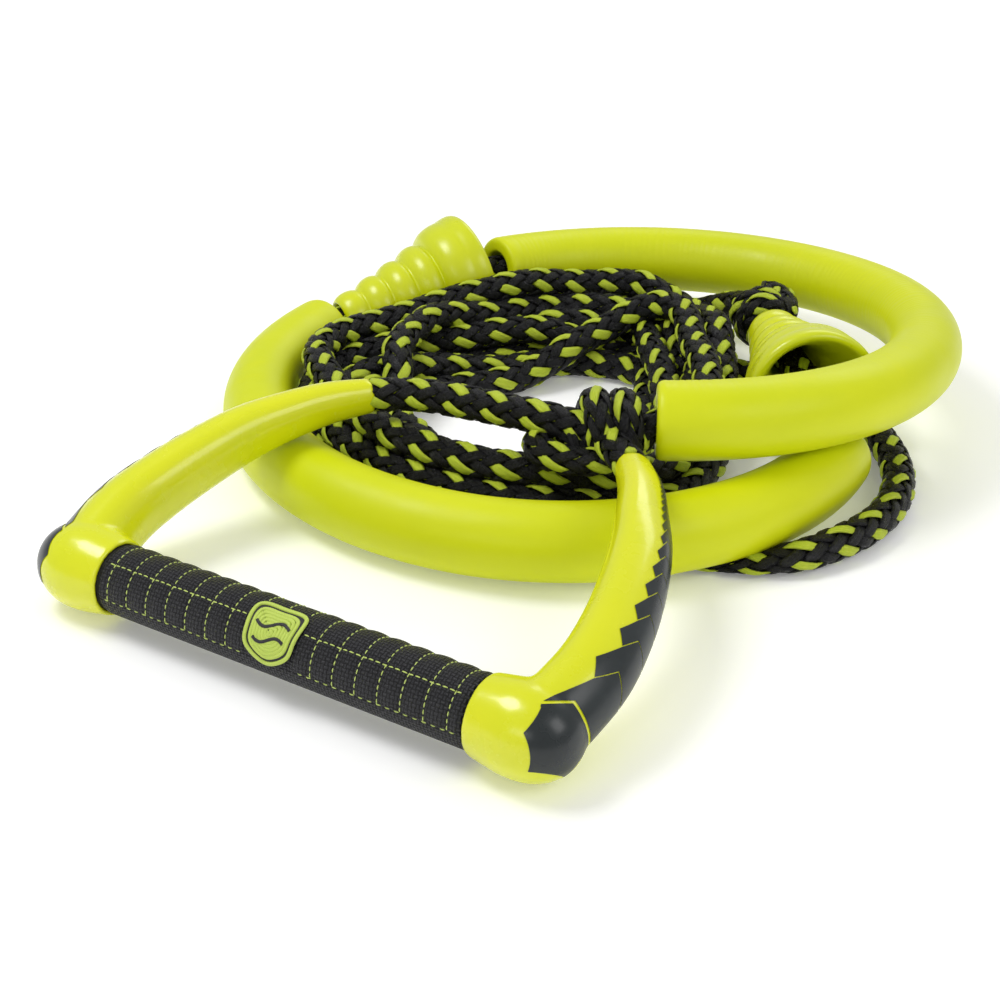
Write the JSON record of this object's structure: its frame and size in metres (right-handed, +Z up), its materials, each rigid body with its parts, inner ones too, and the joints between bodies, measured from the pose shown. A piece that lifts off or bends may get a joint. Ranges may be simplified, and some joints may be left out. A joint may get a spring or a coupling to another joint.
{
  "type": "tow rope handle",
  "caption": "Water sports tow handle: straight padded grip between two curved arms, foam floats and ribbed cones strung on a braided rope laid in a loose coil.",
  "frame": {"origin": "middle of the object on the floor, measured without the rope", "axes": "+X along the grip, +Y from the grip towards the coil, +Z up"},
  "size_m": [0.387, 0.5056, 0.0811],
  "materials": {
    "lime_moulded": "glossy lime moulded arm",
    "lime_foam": "satin lime closed-cell foam",
    "black_rope": "glossy black braid with lime tracer strands",
    "grip_fabric": "black basket weave fabric",
    "decal_black": "satin black film",
    "badge": "embroidered lime patch",
    "aluminium": "satin anodised tube",
    "inner_foam": "dark closed-cell foam",
    "bushing": "black moulded plastic",
    "core_line": "grey polyethylene braid",
    "whipping": "black twine"
  },
  "bodies": {
    "handle_and_rope": {"handle_line": "core_line", "bar_tube": "aluminium", "grip_foam": "inner_foam", "grip_cover": "grip_fabric", "grip_badge": "badge", "end_bushing_left": "bushing", "end_bushing_right": "bushing", "arm_left": "lime_moulded", "arm_right": "lime_moulded", "arm_decal_left": "decal_black", "arm_decal_right": "decal_black", "bridle_leg_left": "black_rope", "bridle_leg_right": "black_rope", "bridle_knot": "black_rope", "line_in_upper_float": "black_rope", "line_in_lower_float": "black_rope", "line_upper_cone": "black_rope", "line_lower_cone": "black_rope", "stop_knot": "black_rope", "coil": "black_rope", "outer_loop": "black_rope", "line_tail": "black_rope", "tow_line": "black_rope", "tow_eye": "black_rope", "eye_splice": "whipping"},
    "upper_float": {"float_upper": "lime_foam"},
    "lower_float": {"float_lower": "lime_foam"},
    "upper_cone": {"cone_upper": "lime_foam"},
    "lower_cone": {"cone_lower": "lime_foam"}
  },
  "joints": [
    {"name": "upper_float_slide", "type": "hinge", "parent": "handle_and_rope", "child": "upper_float", "pos_m": [0.025, 0.089, 0.05], "axis": [-0.0419, 0.0718, 0.9965], "range_deg": [0, 2.5]},
    {"name": "lower_float_slide", "type": "hinge", "parent": "handle_and_rope", "child": "lower_float", "pos_m": [0.00371, 0.04044, 0.02035], "axis": [-0.006, 0, 1], "range_deg": [0, 2]},
    {"name": "upper_cone_spin", "type": "hinge", "parent": "handle_and_rope", "child": "upper_cone", "pos_m": [-0.16937, 0.063, 0.02056], "axis": [-0.4619, -0.8653, -0.1947], "continuous": true},
    {"name": "lower_cone_spin", "type": "hinge", "parent": "handle_and_rope", "child": "lower_cone", "pos_m": [0.066, 0.156, 0.035], "axis": [-0.6338, 0.7734, -0.0107], "continuous": true}
  ]
}
